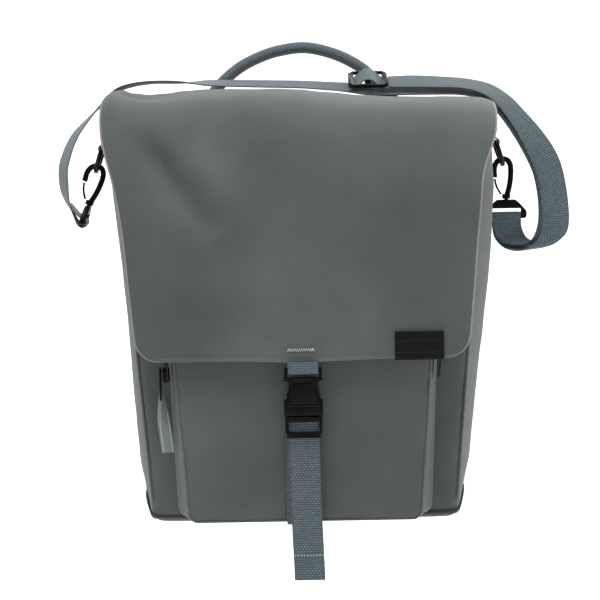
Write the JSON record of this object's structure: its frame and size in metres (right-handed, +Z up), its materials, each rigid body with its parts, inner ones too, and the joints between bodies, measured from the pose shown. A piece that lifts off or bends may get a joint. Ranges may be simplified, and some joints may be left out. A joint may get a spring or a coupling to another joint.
{
  "type": "pannier bag",
  "caption": "Bicycle pannier bag with lid flap, side-release buckle, zipped front pocket, carry handle, shoulder strap on snap hooks, and rail with sliding rack hooks.",
  "frame": {"origin": "on the axis of the rack tube that the two rear hooks hold, midway between the hooks", "axes": "+X to the right as seen from the bag's front, +Y to the rack behind the bag, +Z up; the front faces -Y"},
  "size_m": [0.424, 0.2062, 0.4358],
  "materials": {
    "cloth": "matt woven polyester",
    "base_cloth": "coated cloth",
    "webbing": "woven polyester webbing",
    "acetal": "moulded, satin",
    "tag": "woven tag",
    "board": "extruded polyethylene sheet",
    "rail": "black anodised",
    "steel": "zinc plated",
    "blackened_steel": "black coated wire",
    "zip_cloth": "zip tape and coil",
    "ribbon": "grosgrain ribbon"
  },
  "bodies": {
    "bag": {"front_panel": "cloth", "back_panel": "cloth", "side_gusset_left": "cloth", "side_gusset_right": "cloth", "base_panel": "base_cloth", "top_strip": "cloth", "back_board": "board", "base_board": "board", "pocket_panel": "cloth", "pocket_gusset": "cloth", "zip_tape": "zip_cloth", "zip_coil": "zip_cloth", "ring_tab_left": "webbing", "ring_tab_right": "webbing", "handle_tab_left": "webbing", "handle_tab_right": "webbing", "upper_rail": "rail", "upper_rail_screw_1": "steel", "upper_rail_screw_2": "steel", "upper_rail_screw_3": "steel", "upper_rail_nut_1": "steel", "upper_rail_nut_2": "steel", "upper_rail_nut_3": "steel", "lower_rail": "rail", "lower_rail_screw_1": "steel", "lower_rail_screw_2": "steel", "lower_rail_nut_1": "steel", "lower_rail_nut_2": "steel", "closure_strap": "webbing", "shoulder_strap": "webbing"},
    "flap_top": {"flap_top": "cloth"},
    "flap_front": {"flap_front": "cloth", "flap_label": "tag", "closure_loop": "webbing", "buckle_socket": "acetal"},
    "buckle_plug": {"buckle_plug": "acetal", "strap_tail": "webbing"},
    "arm_left": {"buckle_arm_left": "acetal"},
    "arm_right": {"buckle_arm_right": "acetal"},
    "zip_slider": {"zip_slider": "acetal"},
    "zip_pull": {"zip_tab": "acetal", "zip_ribbon": "ribbon"},
    "handle": {"carry_handle": "webbing"},
    "strap_slider": {"strap_slider": "acetal"},
    "ring_left": {"d_ring_left": "blackened_steel"},
    "hook_left": {"snap_hook_left": "acetal"},
    "gate_left": {"hook_gate_left": "acetal"},
    "swivel_left": {"strap_swivel_left": "acetal"},
    "rack_hook_left": {"rack_hook_left": "acetal"},
    "latch_left": {"hook_latch_left": "acetal"},
    "ring_right": {"d_ring_right": "blackened_steel"},
    "hook_right": {"snap_hook_right": "acetal"},
    "gate_right": {"hook_gate_right": "acetal"},
    "swivel_right": {"strap_swivel_right": "acetal"},
    "rack_hook_right": {"rack_hook_right": "acetal"},
    "latch_right": {"hook_latch_right": "acetal"},
    "foot_slide": {"foot_slide": "acetal"},
    "anchor_foot": {"anchor_foot": "acetal"}
  },
  "joints": [
    {"name": "flap_hinge", "type": "hinge", "parent": "bag", "child": "flap_top", "pos_m": [0, -0.052, 0.0285], "axis": [-1, 0, 0], "range_deg": [0, 85]},
    {"name": "flap_fold", "type": "hinge", "parent": "flap_top", "child": "flap_front", "pos_m": [0, -0.1495, 0.0285], "axis": [-1, 0, 0], "range_deg": [0, 85], "deforming": ["buckle_arm_left", "buckle_arm_right"]},
    {"name": "buckle_draw", "type": "slide", "parent": "bag", "child": "buckle_plug", "axis": [0, 0, -1], "range_m": [0, 0.03]},
    {"name": "arm_left_flex", "type": "hinge", "parent": "buckle_plug", "child": "arm_left", "pos_m": [-0.0074, -0.1905, -0.2231], "axis": [0, 1, 0], "range_deg": [0, 7], "stiffness_Nm_per_rad": 0.02},
    {"name": "arm_right_flex", "type": "hinge", "parent": "buckle_plug", "child": "arm_right", "pos_m": [0.0074, -0.1905, -0.2231], "axis": [0, 1, 0], "range_deg": [-7, 0], "stiffness_Nm_per_rad": 0.02},
    {"name": "zip_travel", "type": "slide", "parent": "bag", "child": "zip_slider", "axis": [-0.0609, 0, 0.9981], "range_m": [0, 0.08]},
    {"name": "zip_pull_swing", "type": "hinge", "parent": "zip_slider", "child": "zip_pull", "pos_m": [-0.11678, -0.1685, -0.185], "axis": [0, 1, 0], "range_deg": [0, 90]},
    {"name": "handle_fold", "type": "hinge", "parent": "bag", "child": "handle", "pos_m": [0, -0.011, 0.035], "axis": [-1, 0, 0], "range_deg": [-15, 65]},
    {"name": "slider_run", "type": "slide", "parent": "bag", "child": "strap_slider", "axis": [1, 0, 0], "range_m": [-0.08, 0.03], "deforming": ["shoulder_strap"]},
    {"name": "ring_swing_left", "type": "hinge", "parent": "bag", "child": "ring_left", "pos_m": [-0.1715, -0.034, -0.011], "axis": [0, 1, 0], "range_deg": [0, 55]},
    {"name": "hook_swing_left", "type": "hinge", "parent": "ring_left", "child": "hook_left", "pos_m": [-0.17799, -0.034, -0.03097], "axis": [0, 1, 0], "range_deg": [-16, 35]},
    {"name": "gate_left", "type": "hinge", "parent": "hook_left", "child": "gate_left", "pos_m": [-0.18886, -0.034, -0.055], "axis": [0, 1, 0], "range_deg": [0, 18], "stiffness_Nm_per_rad": 0.02},
    {"name": "swivel_left", "type": "hinge", "parent": "hook_left", "child": "swivel_left", "pos_m": [-0.18558, -0.034, -0.0612], "axis": [0.342, 0, 0.9397], "range_deg": [-90, 90]},
    {"name": "ring_swing_right", "type": "hinge", "parent": "bag", "child": "ring_right", "pos_m": [0.1715, -0.034, -0.011], "axis": [0, -1, 0], "range_deg": [0, 55]},
    {"name": "hook_swing_right", "type": "hinge", "parent": "ring_right", "child": "hook_right", "pos_m": [0.17799, -0.034, -0.03097], "axis": [0, -1, 0], "range_deg": [0, 35]},
    {"name": "gate_right", "type": "hinge", "parent": "hook_right", "child": "gate_right", "pos_m": [0.17599, -0.034, -0.05727], "axis": [0, 1, 0], "range_deg": [0, 18], "stiffness_Nm_per_rad": 0.02},
    {"name": "swivel_right", "type": "hinge", "parent": "hook_right", "child": "swivel_right", "pos_m": [0.18119, -0.034, -0.06197], "axis": [0, 0, 1], "range_deg": [-90, 90]},
    {"name": "rack_hook_slide_left", "type": "slide", "parent": "bag", "child": "rack_hook_left", "axis": [1, 0, 0], "range_m": [-0.03, 0.03]},
    {"name": "latch_left", "type": "hinge", "parent": "rack_hook_left", "child": "latch_left", "pos_m": [-0.09, -0.0039, -0.0135], "axis": [-1, 0, 0], "range_deg": [0, 45], "stiffness_Nm_per_rad": 0.02},
    {"name": "rack_hook_slide_right", "type": "slide", "parent": "bag", "child": "rack_hook_right", "axis": [1, 0, 0], "range_m": [-0.03, 0.03]},
    {"name": "latch_right", "type": "hinge", "parent": "rack_hook_right", "child": "latch_right", "pos_m": [0.09, -0.0039, -0.0135], "axis": [-1, 0, 0], "range_deg": [0, 45], "stiffness_Nm_per_rad": 0.02},
    {"name": "foot_travel", "type": "slide", "parent": "bag", "child": "foot_slide", "axis": [1, 0, 0], "range_m": [-0.04, 0.04]},
    {"name": "foot_turn", "type": "hinge", "parent": "foot_slide", "child": "anchor_foot", "pos_m": [0, -0.0048, -0.22], "axis": [0, 1, 0], "range_deg": [-90, 90]}
  ],
  "couplings": [
    {"joint": "arm_right_flex", "follows": "arm_left_flex", "ratio": -1}
  ]
}
